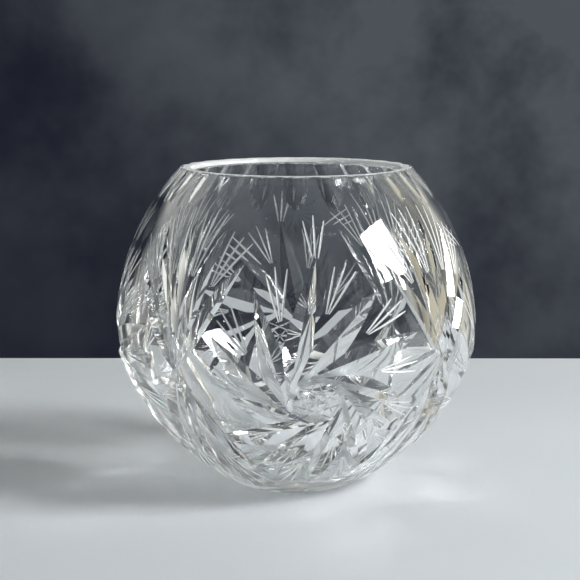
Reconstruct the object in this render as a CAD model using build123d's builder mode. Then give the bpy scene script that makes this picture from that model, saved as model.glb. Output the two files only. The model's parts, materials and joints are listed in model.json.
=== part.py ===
"""Rose bowl in cut crystal: one blown globe of glass, wheel-cut on the outside and open at the top.

Millimetres and degrees. The bowl stands on z = 0 and its axis is Z. Longitude 0 faces -Y and grows
towards +X. A bearing on the glass, seen from outside, is 0 to the right and 90 straight up.
"""
import os
from math import acos, asin, atan, cos, degrees, hypot, pi, radians, sin, tan

from build123d import *

# Blown blank
belly_diameter = 150.0
belly_height = 64.3
bowl_height = 131.9
mouth_diameter = 95.8
base_diameter = 51.6
belly_round = 42.5
belly_turn = 26.8
wall = 5.5
floor_thickness = 9.0
floor_round = 16.0
rim_bevel = 0.9

# Fluted rim
flute_count = 24
flute_depth = 1.0
flute_length = 12.0

# Pinwheels, one in each repeat of the pattern
repeat_count = 4
pinwheel_longitude = 6.3
button_height = 47.0
button_radius = 11.0
button_sink = 1.1
vane_count = 12
first_vane_bearing = 90.0
vane_reach = 49.0
crown_reach = 55.0
level_reach = 33.0
vane_heel = 6.0
vane_width = 11.0
vane_depth = 2.6

# Fans between the pinwheels: leaves that rise and leaves that hang from one root
fan_height = 58.0
root_overlap = 3.0
rising_count = 5
rising_step = 16.0
rising_reach = 60.0
hanging_count = 3
hanging_step = 21.5
hanging_reach = 70.0
leaf_width = 6.5
leaf_depth = 1.8

# Star under the base
star_points = 16
star_eye = 3.0
star_margin = 4.0
star_width = 3.6
star_depth = 1.0

# How far a cutter runs on past the glass, as a share of the cut
cutter_overrun = 1.15
cutter_headroom = 1.6

belly_radius = belly_diameter / 2
mouth_radius = mouth_diameter / 2
base_radius = base_diameter / 2
shoulder_draw = belly_radius - mouth_radius
shoulder_rise = bowl_height - belly_height
shoulder_round = (shoulder_draw**2 + shoulder_rise**2) / (2 * shoulder_draw)
globe_centre = Vector(0, 0, belly_height)

# Blank: shoulder, belly and flank as three tangent arcs, turned about the axis
with BuildPart() as blank:
    with BuildSketch(Plane.XZ):
        with BuildLine():
            belly = CenterArc((belly_radius - belly_round, belly_height), belly_round, 0, -belly_turn)
            flank = TangentArc(belly @ 1, (base_radius, 0), tangent=belly % 1)
            shoulder = RadiusArc(belly @ 0, (mouth_radius, bowl_height), -shoulder_round)
            Polyline(flank @ 1, (0, 0), (0, bowl_height), shoulder @ 1)
        make_face()
    revolve(axis=Axis.Z)

skin = blank.part.shell()


def pierce(aim):
    """Point and outward direction where a line from the middle of the globe leaves the glass."""
    return skin.find_intersection_points(Axis(globe_centre, aim))[-1]


def place(longitude, height):
    """Plane on the glass at a longitude and height: X to the right, Y up, Z outwards."""
    east = Vector(cos(radians(longitude)), sin(radians(longitude)), 0)
    level = Axis((0, 0, height), (sin(radians(longitude)), -cos(radians(longitude)), 0))
    point, outward = skin.find_intersection_points(level)[-1]
    return Plane(origin=point, x_dir=east, z_dir=outward)


def mark(spot, bearing, distance):
    """Point on the glass at a bearing and a distance from a spot, the distance laid along the globe."""
    arm = spot.origin - globe_centre
    rise = arm.cross(spot.x_dir).normalized()
    step = spot.x_dir * cos(radians(bearing)) + rise * sin(radians(bearing))
    point, _ = pierce(arm + step * (arm.length * tan(distance / arm.length)))
    return point


def mitre(start, end, middle, outward, width, depth):
    """Path of a V-edged wheel from start to end: deepest under the middle, running out at both ends."""
    lane = Plane(origin=middle - outward * depth, x_dir=end - start, z_dir=(end - start).cross(outward))
    near = lane.to_local_coords(start)
    far = lane.to_local_coords(end)
    lift = cutter_overrun**2
    with BuildPart() as cutter:
        with BuildLine(lane):
            groove = ThreePointArc(
                (near.X * cutter_overrun, near.Y * lift),
                (0, 0),
                (far.X * cutter_overrun, far.Y * lift),
            )
        with BuildSketch(Plane(origin=groove @ 0, x_dir=-lane.z_dir, z_dir=groove % 0)):
            with BuildLine():
                half = width / 2 * cutter_headroom
                top = depth * cutter_headroom
                Polyline((0, 0), (half, top), (-half, top), close=True)
            make_face()
        sweep()
    return cutter.part


def cut_glass(start, end, width, depth):
    """Mitre cut on the globe between two points of its skin."""
    middle, outward = pierce((start + end) / 2 - globe_centre)
    return mitre(start, end, middle, outward, width, depth)


# Pinwheel: vanes that pass the round button at a tangent, all turned the same way; those that point
# straight up and down are longer, and those that point at the fans are shorter
cuts = []
button = place(pinwheel_longitude, button_height)
heel_distance = hypot(button_radius, vane_heel)
special_reach = {0: crown_reach, 90: level_reach, 180: crown_reach, 270: level_reach}
for number in range(vane_count):
    turn = number * 360 / vane_count
    reach = special_reach.get(turn, vane_reach)
    bearing = first_vane_bearing + turn
    heel_lead = degrees(acos(button_radius / reach) + atan(vane_heel / button_radius))
    tip = mark(button, bearing, reach)
    heel = mark(button, bearing + heel_lead, heel_distance)
    cuts.append(cut_glass(heel, tip, vane_width, vane_depth))

# Button: the middle of the pinwheel, ground flat a little below the skin
with BuildPart() as button_grind:
    with BuildSketch(button.offset(-button_sink)):
        Circle(button_radius + vane_heel)
    extrude(amount=vane_heel)
cuts.append(button_grind.part)

# Fan: leaves spread about straight up and about straight down
root = place(pinwheel_longitude + 180 / repeat_count, fan_height)
for middle_bearing, count, step, reach in (
    (90, rising_count, rising_step, rising_reach),
    (270, hanging_count, hanging_step, hanging_reach),
):
    for number in range(count):
        swing = (number - (count - 1) / 2) * step
        base = mark(root, middle_bearing + swing, -root_overlap)
        point = mark(root, middle_bearing + swing, reach * cos(radians(swing)))
        cuts.append(cut_glass(base, point, leaf_width, leaf_depth))

# Base star: one ray, cut up into the flat underside
ray_start = Vector(star_eye, 0, 0)
ray_end = Vector(base_radius - star_margin, 0, 0)
star_ray = mitre(ray_start, ray_end, (ray_start + ray_end) / 2, Vector(0, 0, -1), star_width, star_depth)

# Rim flute: a round-edged wheel that meets its neighbours at the lip and runs out on the shoulder
pitch = pi * mouth_diameter / flute_count
flute_round = (pitch / 2) ** 2 / (2 * flute_depth) + flute_depth / 2
flute_foot = place(0, bowl_height - flute_length).origin
flute_head = Vector(0, flute_depth - mouth_radius, bowl_height)
with BuildPart() as flute:
    with BuildSketch(Plane(origin=flute_foot, x_dir=(1, 0, 0), z_dir=flute_head - flute_foot)):
        with Locations((0, -flute_round)):
            Circle(flute_round)
    extrude(amount=2 * flute_length, both=True)

# Hollow: the blank's three arcs again, one wall further in, on a flat floor with a round corner
inner_shoulder_turn = degrees(asin(shoulder_rise / (shoulder_round - wall)))
flank_turn = degrees(flank.length / flank.radius)
with BuildPart() as hollow:
    with BuildSketch(Plane.XZ) as hollow_profile:
        with BuildLine():
            inner_shoulder = CenterArc(shoulder.arc_center, shoulder_round - wall, 0, inner_shoulder_turn)
            inner_belly = CenterArc(belly.arc_center, belly_round - wall, 0, -belly_turn)
            inner_flank = CenterArc(flank.arc_center, flank.radius - wall, -belly_turn, -flank_turn)
            Polyline(
                inner_shoulder @ 1,
                inner_shoulder @ 1 + Vector(0, wall),
                (0, bowl_height + wall),
                (0, (inner_flank @ 1).Y),
                inner_flank @ 1,
            )
        make_face()
        Rectangle(belly_diameter, 2 * floor_thickness, mode=Mode.SUBTRACT)
        fillet(hollow_profile.vertices().group_by(Axis.Y)[0].sort_by(Axis.X)[-1], floor_round)
    revolve(axis=Axis.Z)

# Bowl: the blank hollowed, its lip bevelled inside, then cut all round and underneath
with BuildPart() as crystal_bowl:
    add(blank.part)
    add(hollow.part, mode=Mode.SUBTRACT)
    chamfer(crystal_bowl.faces().sort_by(Axis.Z)[-1].edges().sort_by(SortBy.RADIUS)[0], rim_bevel)
    for cut in cuts:
        with PolarLocations(0, repeat_count):
            add(cut, mode=Mode.SUBTRACT)
    with PolarLocations(0, flute_count):
        add(flute.part, mode=Mode.SUBTRACT)
    with PolarLocations(0, star_points):
        add(star_ray, mode=Mode.SUBTRACT)

os.makedirs("parts", exist_ok=True)
crystal_bowl.part.label = "crystal_bowl"
export_step(crystal_bowl.part, "parts/crystal_bowl.step")
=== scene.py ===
import json
from math import acos, asin, atan, cos, degrees, hypot, pi, radians, sin, sqrt, tan

import bpy
from mathutils import Matrix, Vector

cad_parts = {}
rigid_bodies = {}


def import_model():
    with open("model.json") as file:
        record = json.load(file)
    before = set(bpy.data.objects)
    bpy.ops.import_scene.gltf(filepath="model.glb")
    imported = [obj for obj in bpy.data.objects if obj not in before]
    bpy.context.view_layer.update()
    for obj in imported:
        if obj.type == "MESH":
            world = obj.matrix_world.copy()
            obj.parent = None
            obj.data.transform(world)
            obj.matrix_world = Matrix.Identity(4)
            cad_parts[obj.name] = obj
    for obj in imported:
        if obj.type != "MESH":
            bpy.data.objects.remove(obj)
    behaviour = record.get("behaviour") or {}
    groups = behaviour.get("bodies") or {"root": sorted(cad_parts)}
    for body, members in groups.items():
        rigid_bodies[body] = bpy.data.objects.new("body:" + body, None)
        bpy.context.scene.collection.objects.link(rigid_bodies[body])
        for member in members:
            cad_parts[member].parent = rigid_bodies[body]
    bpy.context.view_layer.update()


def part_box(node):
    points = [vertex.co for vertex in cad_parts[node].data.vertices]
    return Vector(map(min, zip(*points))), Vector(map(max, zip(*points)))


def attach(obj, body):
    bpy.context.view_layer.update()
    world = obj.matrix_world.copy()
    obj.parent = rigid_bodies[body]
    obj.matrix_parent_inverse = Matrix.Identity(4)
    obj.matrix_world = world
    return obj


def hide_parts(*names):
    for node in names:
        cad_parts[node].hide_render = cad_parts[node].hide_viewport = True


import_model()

# The blank is one gather of clear lead crystal, blown to an egg-shaped globe and cracked off at the
# top. Three tangent arcs make its outline, with an even wall inside them and a thick flat bottom with
# a round corner. The lip is ground level and its two edges are polished round.
mm = 0.001
bowl_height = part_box("crystal_bowl")[1].z
belly_radius = 75 * mm
belly_height = 64.3 * mm
mouth_radius = 47.9 * mm
base_radius = 25.8 * mm
belly_round = 42.5 * mm
belly_turn = radians(26.8)
wall = 5.5 * mm
floor_thickness = 9 * mm
floor_round = 16 * mm
lip_round_outside = 1.2 * mm
lip_round_inside = 1.8 * mm
steps_round_axis = 240

shoulder_draw = belly_radius - mouth_radius
shoulder_rise = bowl_height - belly_height
shoulder_round = (shoulder_draw**2 + shoulder_rise**2) / (2 * shoulder_draw)
shoulder_centre = Vector((belly_radius - shoulder_round, 0, belly_height))
belly_centre = Vector((belly_radius - belly_round, 0, belly_height))
belly_out = Vector((cos(belly_turn), 0, -sin(belly_turn)))
belly_end = belly_centre + belly_out * belly_round
base_edge = Vector((base_radius, 0, 0))
drop = belly_end - base_edge
flank_round = drop.length_squared / (2 * drop.dot(belly_out))
flank_centre = belly_end - belly_out * flank_round
level_out = Vector((1, 0, 0))
upright = Vector((0, 0, 1))


def ball_in_corner(arc_centre, reach, height):
    """Middle of a round edge that touches an arc of the outline and a level line."""
    rise = height - arc_centre.z
    return arc_centre + Vector((sqrt(reach**2 - rise**2), 0, rise))


corner_centre = ball_in_corner(
    flank_centre, flank_round - wall - floor_round, floor_thickness + floor_round
)
corner_out = (corner_centre - flank_centre).normalized()
outside_centre = ball_in_corner(
    shoulder_centre, shoulder_round - lip_round_outside, bowl_height - lip_round_outside
)
outside_out = (outside_centre - shoulder_centre).normalized()
inside_centre = ball_in_corner(
    shoulder_centre, shoulder_round - wall + lip_round_inside, bowl_height - lip_round_inside
)
inside_out = (inside_centre - shoulder_centre).normalized()

up_the_outside = (0, 1, 0)
down_the_inside = (0, -1, 0)
bpy.ops.object.select_all(action="DESELECT")
bpy.ops.mesh.primitive_plane_add(size=belly_radius)
bowl = bpy.context.active_object
bowl.name = "cut_crystal_bowl"
bpy.ops.object.mode_set(mode="EDIT")
bpy.ops.mesh.select_all(action="SELECT")
bpy.ops.mesh.merge(type="CENTER")


def draw_on(there):
    """Draws the outline on in a straight line."""
    bpy.ops.mesh.extrude_region_move(TRANSFORM_OT_translate={"value": there})


def turn_on(centre, angle, axis, steps):
    """Draws the outline on along an arc."""
    bpy.ops.mesh.spin(steps=steps, angle=angle, center=centre, axis=axis)


draw_on(base_edge)
turn_on(flank_centre, belly_out.angle(base_edge - flank_centre), up_the_outside, 30)
turn_on(belly_centre, belly_turn, up_the_outside, 14)
turn_on(shoulder_centre, outside_out.angle(level_out), up_the_outside, 36)
turn_on(outside_centre, outside_out.angle(upright), up_the_outside, 10)
draw_on(Vector((inside_centre.x - outside_centre.x, 0, 0)))
turn_on(inside_centre, upright.angle(-inside_out), up_the_outside, 24)
turn_on(shoulder_centre, inside_out.angle(level_out), down_the_inside, 26)
turn_on(belly_centre, belly_turn, down_the_inside, 12)
turn_on(flank_centre, belly_out.angle(corner_out), down_the_inside, 16)
turn_on(corner_centre, corner_out.angle(-upright), down_the_inside, 8)
draw_on(Vector((-corner_centre.x, 0, 0)))
bpy.ops.mesh.select_all(action="SELECT")
bpy.ops.mesh.spin(steps=steps_round_axis, angle=2 * pi, center=(0, 0, 0), axis=(0, 0, 1))
bpy.ops.mesh.select_all(action="SELECT")
bpy.ops.mesh.remove_doubles(threshold=0.01 * mm)
bpy.ops.mesh.normals_make_consistent(inside=False)
bpy.ops.object.mode_set(mode="OBJECT")


class Wire:
    """A socket in a node tree. Sums and products of wires add Math nodes."""

    def __init__(self, tree, socket=None):
        self.tree = tree
        self.socket = socket

    def node(self, kind, settings, sockets, output=0):
        made = self.tree.nodes.new(kind)
        for name, value in settings.items():
            setattr(made, name, value)
        for name, value in sockets.items():
            if isinstance(value, Wire):
                self.tree.links.new(value.socket, made.inputs[name])
            else:
                made.inputs[name].default_value = value
        return Wire(self.tree, made.outputs[output] if made.outputs else None)

    def __add__(self, other):
        return self.node("ShaderNodeMath", {"operation": "ADD"}, {0: self, 1: other})

    def __mul__(self, other):
        return self.node("ShaderNodeMath", {"operation": "MULTIPLY"}, {0: self, 1: other})

    __radd__ = __add__
    __rmul__ = __mul__


glass_tint = (0.985, 0.99, 0.99, 1)
crystal_index = 1.545
arris_round = 0.2 * mm
wave_rise = 0.5 * mm
wave_strength = 0.14
wave_scale = 45.0
haze_scale = 160.0


def crystal_finish(name, polish, unevenness, clearness):
    """Lead crystal with the faint waves of blown glass and a polish that is not quite even."""
    finish = bpy.data.materials.new(name)
    finish.use_nodes = True
    finish.node_tree.nodes.clear()
    wires = Wire(finish.node_tree)
    spot = wires.node("ShaderNodeTexCoord", {}, {}, "Object")
    wave = wires.node("ShaderNodeTexNoise", {}, {"Vector": spot, "Scale": wave_scale, "Detail": 1.0})
    haze = wires.node("ShaderNodeTexNoise", {}, {"Vector": spot, "Scale": haze_scale, "Detail": 3.0})
    arris = wires.node("ShaderNodeBevel", {"samples": 4}, {"Radius": arris_round})
    swell = wires.node(
        "ShaderNodeBump",
        {},
        {"Height": wave, "Strength": wave_strength, "Distance": wave_rise, "Normal": arris},
    )
    glass = wires.node(
        "ShaderNodeBsdfPrincipled",
        {},
        {
            "Base Color": glass_tint,
            "Roughness": haze * unevenness + polish,
            "IOR": crystal_index,
            "Transmission Weight": clearness,
            "Normal": swell,
        },
    )
    wires.node("ShaderNodeOutputMaterial", {}, {"Surface": glass})
    return finish


polished_finish = crystal_finish("lead_crystal", polish=0.0, unevenness=0.02, clearness=1.0)
fine_cut_finish = crystal_finish("fine_cut_crystal", polish=0.25, unevenness=0.3, clearness=0.55)
bowl.data.materials.append(polished_finish)
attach(bowl, "root")
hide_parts("crystal_bowl")

# Pinwheels are the main cut of the pattern, four round the belly. A wheel with a V edge makes the
# twelve deep vanes, which pass a round button at a tangent, three fine rays between each two and a
# spray above the crown vane. The button is ground flat and carries a small eight-pointed star.
repeat_count = 4
pinwheel_longitude = 6.3
button_height = 47 * mm
button_radius = 11 * mm
button_sink = 1.1 * mm
vane_count = 12
vane_reach = 49 * mm
crown_reach = 55 * mm
level_reach = 33 * mm
vane_heel = 6 * mm
vane_width = 11 * mm
vane_depth = 2.6 * mm
straight_up = 90
globe_centre = Vector((0, 0, belly_height))
far_out = 4 * belly_radius
cutter_overrun = 1.15
cutter_headroom = 1.6


def wheel_path(segments):
    """Path of a V-edged wheel, one unit long, wide and deep, with its edge down and along X."""
    bpy.ops.object.select_all(action="DESELECT")
    bpy.ops.mesh.primitive_cube_add(size=1, location=(0, 0, 0))
    prism = bpy.context.active_object
    bpy.ops.object.mode_set(mode="EDIT")
    bpy.ops.mesh.select_mode(type="EDGE")
    bpy.ops.mesh.select_all(action="SELECT")
    bpy.ops.transform.translate(value=(0, 0.5, 0))
    bpy.ops.object.mode_set(mode="OBJECT")
    for corner in prism.data.vertices:
        corner.select = corner.co.y < 0.5
    for edge in prism.data.edges:
        edge.select = all(prism.data.vertices[v].select for v in edge.vertices)
    for side in prism.data.polygons:
        side.select = side.normal.y < -0.5
    bpy.ops.object.mode_set(mode="EDIT")
    bpy.ops.transform.resize(value=(1, 1, 0), center_override=(0, 0, 0))
    bpy.ops.mesh.select_all(action="SELECT")
    bpy.ops.mesh.remove_doubles(threshold=0.001)
    bpy.ops.mesh.select_all(action="DESELECT")
    bpy.ops.object.mode_set(mode="OBJECT")
    for edge in prism.data.edges:
        start, end = (prism.data.vertices[v].co for v in edge.vertices)
        edge.select = abs(end.x - start.x) > 0.5
    bpy.ops.object.mode_set(mode="EDIT")
    bpy.ops.mesh.subdivide(number_cuts=segments - 1)
    bpy.ops.mesh.select_all(action="SELECT")
    bpy.ops.mesh.normals_make_consistent(inside=False)
    bpy.ops.object.mode_set(mode="OBJECT")
    path = prism.data
    bpy.data.objects.remove(prism)
    return path


deep_path = wheel_path(segments=20)
fine_path = wheel_path(segments=10)
cuts = bpy.data.collections.new("cuts")
bpy.context.scene.collection.children.link(cuts)
glass_graph = bpy.context.evaluated_depsgraph_get()


def pierce(aim):
    """Point and outward direction where a line from the middle of the globe leaves the glass."""
    out = aim.normalized()
    _, point, outward, _ = bowl.ray_cast(globe_centre + out * far_out, -out, depsgraph=glass_graph)
    return point, outward


def place(longitude, height):
    """Spot on the glass at a longitude and height: the point, and its right and up directions."""
    out = Vector((sin(radians(longitude)), -cos(radians(longitude)), 0))
    right = Vector((cos(radians(longitude)), sin(radians(longitude)), 0))
    level = Vector((0, 0, height))
    _, point, outward, _ = bowl.ray_cast(level + out * far_out, -out, depsgraph=glass_graph)
    return point, right, outward.cross(right).normalized()


def mark(spot, bearing, distance):
    """Point on the glass at a bearing and a distance from a spot, the distance laid along the globe."""
    point, right, _ = spot
    arm = point - globe_centre
    rise = arm.cross(right).normalized()
    step = right * cos(radians(bearing)) + rise * sin(radians(bearing))
    return pierce(arm + step * (arm.length * tan(distance / arm.length)))[0]


def seat_at(right, up, out, point):
    """Place of a cutter, from its three directions and its origin."""
    seat = Matrix((right, up, out)).transposed().to_4x4()
    seat.translation = point
    return seat


def set_round(name, mesh, seat, count):
    """Copies of a cutter, each with its own mesh, set evenly round the axis from one seat."""
    copies = []
    for turn in range(count):
        cutter = bpy.data.objects.new(name, mesh.copy())
        cutter.matrix_world = Matrix.Rotation(2 * pi * turn / count, 4, "Z") @ seat
        cuts.objects.link(cutter)
        copies.append(cutter)
    return copies


def mitre(start, end, middle, outward, width, depth, wheel):
    """One pass of a V-edged wheel: deepest under the middle, running out at both ends."""
    path, finish, overrun = wheel
    along = (end - start).normalized()
    across = along.cross(outward).normalized()
    up = across.cross(along)
    bottom = middle - outward * depth
    reach = (end - start).length / 2 * overrun
    rise = (start - bottom).dot(up) * overrun**2
    bend = 2 * rise / (reach**2 + rise**2)
    angle = 2 * asin(reach * bend)
    length = angle / bend
    mesh = path.copy()
    mesh.transform(Matrix.Diagonal((length, depth * cutter_headroom, width * cutter_headroom, 1)))
    mesh.materials.append(finish)
    lane = seat_at(along, up, across, bottom + along * (start + end - 2 * bottom).dot(along) / 2)
    for groove in set_round("wheel_pass", mesh, lane, repeat_count):
        curl = groove.modifiers.new("curl", "SIMPLE_DEFORM")
        curl.deform_method = "BEND"
        curl.deform_axis = "Z"
        curl.angle = angle


def cut_glass(start, end, width, depth, wheel):
    """Mitre cut on the globe between two points of its skin."""
    middle, outward = pierce((start + end) / 2 - globe_centre)
    mitre(start, end, middle, outward, width, depth, wheel)


ray_width = 0.85 * mm
ray_depth = 0.3 * mm
ray_stop = 0.78
ray_spare = (1 / ray_stop - 1) / 2
three_rays = (-1, 0, 1)
deep_wheel = (deep_path, polished_finish, cutter_overrun)
ray_wheel = (fine_path, fine_cut_finish, ray_stop)
hob_wheel = (fine_path, polished_finish, ray_stop)


def cut_ray(start, end):
    """Fine ray with a keen wheel, left grey from the stone and lifted before it has run out."""
    spare = (end - start) * ray_spare
    first = pierce(start - spare - globe_centre)[0]
    last = pierce(end + spare - globe_centre)[0]
    cut_glass(first, last, ray_width, ray_depth, ray_wheel)


def along_tangent(bearing, distance, reach):
    """Bearing at a distance on the tangent of the button that passes a bearing at its reach."""
    return bearing + degrees(acos(button_radius / reach) - acos(button_radius / distance))


button = place(pinwheel_longitude, button_height)
heel_distance = hypot(button_radius, vane_heel)
vane_pitch = 360 / vane_count
vane_reaches = [vane_reach] * vane_count
vane_reaches[0] = vane_reaches[vane_count // 2] = crown_reach
vane_reaches[vane_count // 4] = vane_reaches[vane_count * 3 // 4] = level_reach
ray_share = 0.68
ray_lead = 3 * mm
ray_trail = 2
ray_spread = 4.8
side_ray_short = 2 * mm
for number, reach in enumerate(vane_reaches):
    bearing = straight_up + number * vane_pitch
    heel_lead = degrees(acos(button_radius / reach) + atan(vane_heel / button_radius))
    heel = mark(button, bearing + heel_lead, heel_distance)
    cut_glass(heel, mark(button, bearing, reach), vane_width, vane_depth, deep_wheel)
    gap = bearing + vane_pitch / 2
    gap_reach = (reach + vane_reaches[(number + 1) % vane_count]) / 2
    ray_start = ray_share * gap_reach
    ray_end = gap_reach + ray_lead
    root_bearing = along_tangent(gap, ray_start, ray_end) + ray_trail
    for side in three_rays:
        near = mark(button, root_bearing + side, ray_start)
        far = mark(button, gap + ray_trail + side * ray_spread, ray_end - abs(side) * side_ray_short)
        cut_ray(near, far)

spray_root = crown_reach + 0.6 * mm
spray_end = crown_reach + 17 * mm
root_spread = 1.2
spray_spread = 3.6
for side in three_rays:
    near = mark(button, straight_up + root_spread * side, spray_root)
    far = mark(button, straight_up + spray_spread * side, spray_end - abs(side) * side_ray_short)
    cut_ray(near, far)

button_point, button_right, button_up = button
button_out = button_right.cross(button_up)
button_middle = button_point - button_out * button_sink
grind_sides = 96
grind_radius = button_radius + vane_heel
bpy.ops.object.select_all(action="DESELECT")
bpy.ops.mesh.primitive_cylinder_add(vertices=grind_sides, radius=grind_radius, depth=vane_heel)
grind = bpy.context.active_object
grind.data.materials.append(polished_finish)
bpy.ops.object.mode_set(mode="EDIT")
bpy.ops.mesh.select_all(action="SELECT")
bpy.ops.transform.translate(value=(0, 0, vane_heel / 2))
bpy.ops.object.mode_set(mode="OBJECT")
button_seat = seat_at(button_right, button_up, button_out, button_middle)
set_round("button_grind", grind.data, button_seat, repeat_count)
bpy.data.objects.remove(grind)


def on_button(bearing, distance):
    """Point on the flat of the button."""
    step = button_right * cos(radians(bearing)) + button_up * sin(radians(bearing))
    return button_middle + step * distance


hob_points = 8
hob_skip = 3
hob_width = 0.85 * mm
hob_depth = 0.24 * mm
hob_pitch = 360 / hob_points
spoke_start = 0.4 * mm
spoke_end = 0.4 * button_radius


def cut_button(start, end):
    """Fine cut on the flat of the button."""
    spare = (end - start) * ray_spare
    middle = (start + end) / 2
    mitre(start - spare, end + spare, middle, button_out, hob_width, hob_depth, hob_wheel)


for number in range(hob_points):
    bearing = number * hob_pitch
    across = bearing + hob_skip * hob_pitch
    cut_button(on_button(bearing, button_radius), on_button(across, button_radius))
    cut_button(on_button(bearing, spoke_start), on_button(bearing, spoke_end))

# Fans fill the space between the pinwheels. Five deep leaves rise from a root on the belly and three
# hang below it, with fine rays between the leaves and three more that cross the last of them.
fan_height = 58 * mm
root_overlap = 3 * mm
leaf_width = 6.5 * mm
leaf_depth = 1.8 * mm
straight_down = 270
fan_longitude = pinwheel_longitude + 180 / repeat_count
fan_ray_start = 0.62
fan_ray_end = 1.07
fan_ray_spread = 0.3
rising_leaves = (straight_up, 5, 16, 60 * mm)
hanging_leaves = (straight_down, 3, 21.5, 70 * mm)
root = place(fan_longitude, fan_height)
for middle_bearing, count, step, reach in (rising_leaves, hanging_leaves):
    for number in range(count):
        swing = (number - (count - 1) / 2) * step
        base = mark(root, middle_bearing + swing, -root_overlap)
        point = mark(root, middle_bearing + swing, reach * cos(radians(swing)))
        cut_glass(base, point, leaf_width, leaf_depth, deep_wheel)
    for number in range(count - 1):
        swing = (number - (count - 2) / 2) * step
        for side in three_rays:
            near = mark(root, middle_bearing + swing + side, fan_ray_start * reach)
            tip = middle_bearing + swing + side * step * fan_ray_spread
            cut_ray(near, mark(root, tip, fan_ray_end * reach * cos(radians(swing))))

cross_near_bearing = 112
cross_near_swing = 4.2
cross_near_reach = 57.5 * mm
cross_near_step = 3 * mm
cross_far_bearing = 118
cross_far_swing = 2.3
cross_far_reach = 72 * mm
cross_far_step = -2 * mm
for number in range(3):
    near_bearing = cross_near_bearing + cross_near_swing * number
    far_bearing = cross_far_bearing + cross_far_swing * number
    near = mark(button, near_bearing, cross_near_reach + cross_near_step * number)
    far = mark(button, far_bearing, cross_far_reach + cross_far_step * number)
    cut_ray(near, far)

# Rim flutes are shallow round grooves, ground side by side on the shoulder, so that the lip is
# scalloped outside. The star under the base is cut with the same V edge as the vanes. All the cuts
# are then taken off the blank at once, and the top of the lip keeps the grey of the stone.
flute_count = 24
flute_depth = 1.5 * mm
flute_length = 12 * mm
flute_pitch = 2 * pi * mouth_radius / flute_count
flute_round = (flute_pitch / 2) ** 2 / (2 * flute_depth) + flute_depth / 2
flute_foot = place(0, bowl_height - flute_length)[0]
flute_head = Vector((0, flute_depth - mouth_radius, bowl_height))
flute_axis = (flute_head - flute_foot).normalized()
flute_right = Vector((1, 0, 0))
flute_sides = 144
flute_in = flute_axis.cross(flute_right)
bpy.ops.object.select_all(action="DESELECT")
bpy.ops.mesh.primitive_cylinder_add(vertices=flute_sides, radius=flute_round, depth=4 * flute_length)
flute_wheel = bpy.context.active_object
flute_wheel.data.materials.append(polished_finish)
flute_seat = seat_at(flute_right, flute_in, flute_axis, flute_foot - flute_in * flute_round)
set_round("flute", flute_wheel.data, flute_seat, flute_count)
bpy.data.objects.remove(flute_wheel)

star_points = 16
star_eye = 3 * mm
star_margin = 4 * mm
star_width = 3.6 * mm
star_depth = 1 * mm
facet_turn = radians(6)
for number in range(star_points // repeat_count):
    swing = 2 * pi * number / star_points
    ray = Vector((cos(swing), sin(swing), 0))
    start = ray * star_eye
    end = ray * (base_radius - star_margin)
    mitre(start, end, (start + end) / 2, -upright, star_width, star_depth, deep_wheel)

bpy.ops.object.select_all(action="DESELECT")
bowl.select_set(True)
bpy.context.view_layer.objects.active = bowl
cutting = bowl.modifiers.new("cutting", "BOOLEAN")
cutting.operation = "DIFFERENCE"
cutting.operand_type = "COLLECTION"
cutting.collection = cuts
cutting.solver = "MANIFOLD"
cutting.material_mode = "TRANSFER"
bpy.ops.object.modifier_apply(modifier=cutting.name)
for cutter in list(cuts.objects):
    bpy.data.objects.remove(cutter)
bpy.data.collections.remove(cuts)
bpy.ops.object.shade_smooth_by_angle(angle=facet_turn)
satin_slot = bowl.data.materials.find(fine_cut_finish.name)
satin_from = bowl_height - lip_round_inside
for side in bowl.data.polygons:
    if side.center.z > satin_from and side.center.xy.length < outside_centre.x:
        side.material_index = satin_slot

# The table is a plain pale painted board with a straight back edge. It lies a hair below the foot of
# the bowl, so that glass and paint do not share one plane.
table_back = 260 * mm
table_front = -1.4
table_side = 1.8
table_thickness = 30 * mm
table_clearance = 0.15 * mm
bpy.ops.object.select_all(action="DESELECT")
bpy.ops.mesh.primitive_plane_add(size=1)
table = bpy.context.active_object
table.name = "table"
bpy.ops.object.mode_set(mode="EDIT")
bpy.ops.mesh.select_all(action="SELECT")
bpy.ops.transform.resize(value=(2 * table_side, table_back - table_front, 1))
bpy.ops.transform.translate(value=(0, (table_back + table_front) / 2, -table_clearance))
bpy.ops.mesh.extrude_region_move(TRANSFORM_OT_translate={"value": (0, 0, -table_thickness)})
bpy.ops.mesh.select_all(action="SELECT")
bpy.ops.mesh.normals_make_consistent(inside=False)
bpy.ops.object.mode_set(mode="OBJECT")
board = bpy.data.materials.new("pale_board")
board.use_nodes = True
board.node_tree.nodes.clear()
board_wires = Wire(board.node_tree)
paint_dark = (0.52, 0.56, 0.59, 1)
paint_light = (0.6, 0.63, 0.65, 1)
tooth_rise = 0.2 * mm


def noise(wires, spot, scale, detail, roughness=0.5):
    """Soft clouds over a surface."""
    sockets = {"Vector": spot, "Scale": scale, "Detail": detail, "Roughness": roughness}
    return wires.node("ShaderNodeTexNoise", {}, sockets)


def blend(wires, share, first, second):
    """Mix of two colours."""
    sockets = {"Factor": share, "A": first, "B": second}
    return wires.node("ShaderNodeMix", {"data_type": "RGBA"}, sockets, 2)


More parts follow.
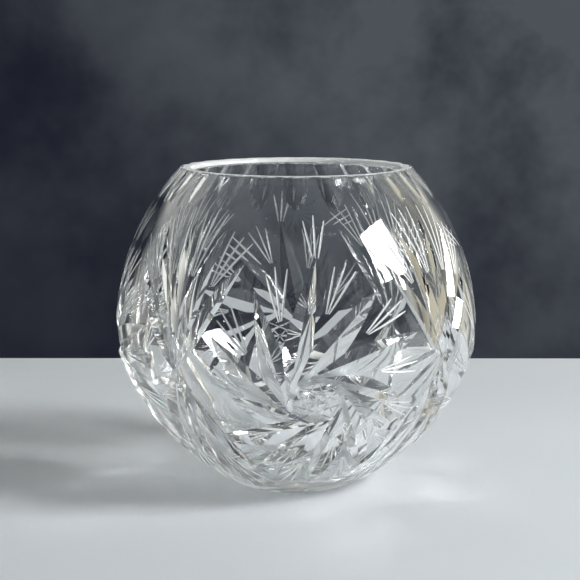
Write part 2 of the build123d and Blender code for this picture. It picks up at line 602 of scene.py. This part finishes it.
board_spot = board_wires.node("ShaderNodeTexCoord", {}, {}, "Object")
board_cloud = noise(board_wires, board_spot, 9.0, 4.0)
board_grain = noise(board_wires, board_spot, 900.0, 2.0)
board_colour = blend(board_wires, board_cloud, paint_dark, paint_light)
board_tooth = board_wires.node(
    "ShaderNodeBump", {}, {"Height": board_grain, "Strength": 0.2, "Distance": tooth_rise}
)
board_paint = board_wires.node(
    "ShaderNodeBsdfPrincipled",
    {},
    {"Base Color": board_colour, "Roughness": board_cloud * 0.15 + 0.5, "Normal": board_tooth},
)
board_wires.node("ShaderNodeOutputMaterial", {}, {"Surface": board_paint})
table.data.materials.append(board)

# Behind the table stands a dark slate backdrop with faint clouds in it, and beyond its edges the far
# end of the studio is plain and light, a little warmer on the right. The near end and the ceiling
# are dim.
room = bpy.data.worlds.new("room")
bpy.context.scene.world = room
room.use_nodes = True
room.node_tree.nodes.clear()
room_wires = Wire(room.node_tree)
room_side = room_wires.node("ShaderNodeTexCoord", {}, {}, "Generated")
room_across = room_wires.node("ShaderNodeSeparateXYZ", {}, {"Vector": room_side}, "X")
room_depth = room_wires.node("ShaderNodeSeparateXYZ", {}, {"Vector": room_side}, "Y")
room_rise = room_wires.node("ShaderNodeSeparateXYZ", {}, {"Vector": room_side}, "Z")

slate_dark = (0.008, 0.009, 0.018, 1)
slate_pale = (0.075, 0.085, 0.1, 1)
wall_light = (0.9, 0.91, 0.86, 1)
wall_warm = (0.5, 0.46, 0.34, 1)
near_end = (0.035, 0.04, 0.045, 1)
ceiling = (0.12, 0.135, 0.145, 1)


def ease(value, low, high):
    """Share that goes softly from nought at the first value to one at the second."""
    limits = {"Value": value, "From Min": low, "From Max": high}
    return room_wires.node("ShaderNodeMapRange", {"interpolation_type": "SMOOTHSTEP"}, limits)


slate_cloud = noise(room_wires, room_side, 7.0, 5.0, 0.6)
slate_patch = ease(slate_cloud, 0.3, 0.7) * 0.75 + 0.1
# The slate is painted lighter to the right, on the soft box side, as painted light, and darker towards
# the bottom; its clouds are its own mottling.
slate_fade = ease(room_rise, -0.2, 0.02) * 0.75 + 0.45
slate_cloud_and_light = slate_patch * slate_fade * (ease(room_across, -0.3, 0.25) * 1.8 + 0.2)
slate_colour = blend(room_wires, slate_cloud_and_light, slate_dark, slate_pale)
far_wall = blend(room_wires, ease(room_across, 0.4, 0.8), wall_light, wall_warm)
walls = blend(room_wires, ease(room_depth, -0.2, 0.3), near_end, far_wall)
plaster_colour = blend(room_wires, ease(room_rise, 0.5, 0.8), walls, ceiling)
slate_height = ease(room_rise, 0.34, 0.24)
slate_left = ease(room_across, -0.85, -0.7)
slate_right = ease(room_across, 0.62, 0.45)
slate_behind = ease(room_depth, 0.35, 0.55)
slate_share = slate_height * slate_left * slate_right * slate_behind
room_colour = blend(room_wires, slate_share, plaster_colour, slate_colour)
room_light = room_wires.node("ShaderNodeBackground", {}, {"Color": room_colour, "Strength": 1.0})
room_wires.node("ShaderNodeOutputWorld", {}, {"Surface": room_light})

# Soft light is one box to the right and a little in front. The camera stands straight in front with a
# long lens, and looks a little down on the bowl.
light_place = Vector((1.18, -0.43, 0.85))
light_aim = Vector((0, 0, 60 * mm))
soft_light = bpy.data.lights.new("soft_box", "AREA")
soft_light.shape = "RECTANGLE"
soft_light.size = 0.45
soft_light.size_y = 0.6
soft_light.energy = 32
soft_box = bpy.data.objects.new("soft_box", soft_light)
soft_box.location = light_place
soft_box.rotation_euler = (light_aim - light_place).to_track_quat("-Z", "Y").to_euler()
bpy.context.scene.collection.objects.link(soft_box)

frame_pixels = 580
focal_pixels = 1750
camera_tilt = radians(8.92)
camera_pan = radians(0.196)
camera_data = bpy.data.cameras.new("camera")
camera_data.sensor_width = 36
camera_data.lens = focal_pixels / frame_pixels * camera_data.sensor_width
camera = bpy.data.objects.new("camera", camera_data)
camera.location = (0, -722 * mm, 193.5 * mm)
camera.rotation_euler = (pi / 2 - camera_tilt, 0, camera_pan)
bpy.context.scene.collection.objects.link(camera)
bpy.context.scene.camera = camera
bpy.context.scene.view_settings.view_transform = "Standard"
paths = bpy.context.scene.cycles
paths.max_bounces = 24
paths.transmission_bounces = 24
paths.glossy_bounces = 12
paths.sample_clamp_indirect = 0
paths.blur_glossy = 0
